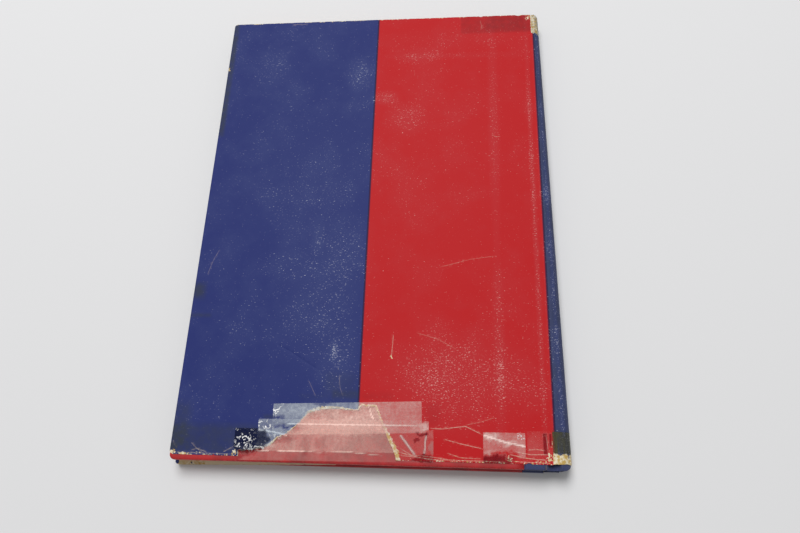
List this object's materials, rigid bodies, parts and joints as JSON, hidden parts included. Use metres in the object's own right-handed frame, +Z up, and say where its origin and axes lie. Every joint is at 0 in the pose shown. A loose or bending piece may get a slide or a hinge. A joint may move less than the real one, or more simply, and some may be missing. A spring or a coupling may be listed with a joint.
{
  "type": "hardback book",
  "caption": "Large thin quarter-bound hardback book in a torn, tape-repaired dust jacket, closed, back cover up, with two covers that open.",
  "frame": {"origin": "under the middle of the closed book, on the surface that it lies on", "axes": "+X towards the spine, +Y towards the head, +Z up through the back cover"},
  "size_m": [0.2056, 0.285, 0.0129],
  "materials": {
    "pages": "uncoated book paper, cut edges",
    "endpaper": "uncoated, slightly toned",
    "mull": "open-weave cotton, glued",
    "band_cloth": "woven band",
    "spine_card": "manila card",
    "quarter_cloth": "blue book cloth",
    "greyboard": "grey-brown board",
    "side_paper": "red covering paper",
    "jacket_paper": "printed, varnished and worn",
    "jacket_spine_paper": "printed, varnished and worn",
    "clear_tape": "clear tape, gone milky and wrinkled"
  },
  "bodies": {
    "block": {"text_block": "pages", "back_flyleaf": "endpaper", "front_flyleaf": "endpaper", "spine_lining": "mull", "headband": "band_cloth", "tailband": "band_cloth", "spine_stiffener": "spine_card", "spine_cloth": "quarter_cloth", "jacket_spine": "jacket_spine_paper", "tail_tape_spine": "clear_tape", "head_tape_spine": "clear_tape"},
    "back_cover": {"back_board": "greyboard", "back_side_paper": "side_paper", "back_quarter_cloth": "quarter_cloth", "back_mull": "mull", "back_pastedown": "endpaper", "jacket_back": "jacket_paper", "tape_upper": "clear_tape", "tape_middle": "clear_tape", "tape_lower": "clear_tape", "tape_short": "clear_tape", "tail_tape_back": "clear_tape", "head_tape_back": "clear_tape"},
    "front_cover": {"front_board": "greyboard", "front_side_paper": "side_paper", "front_quarter_cloth": "quarter_cloth", "front_mull": "mull", "front_pastedown": "endpaper", "jacket_front": "jacket_paper"}
  },
  "joints": [
    {"name": "back_cover_hinge", "type": "hinge", "parent": "block", "child": "back_cover", "pos_m": [0.09508, 0, 0.0128], "axis": [0, 1, 0], "range_deg": [0, 180]},
    {"name": "front_cover_hinge", "type": "hinge", "parent": "block", "child": "front_cover", "pos_m": [0.09508, 0, -0.0001], "axis": [0, -1, 0], "range_deg": [0, 180]}
  ]
}
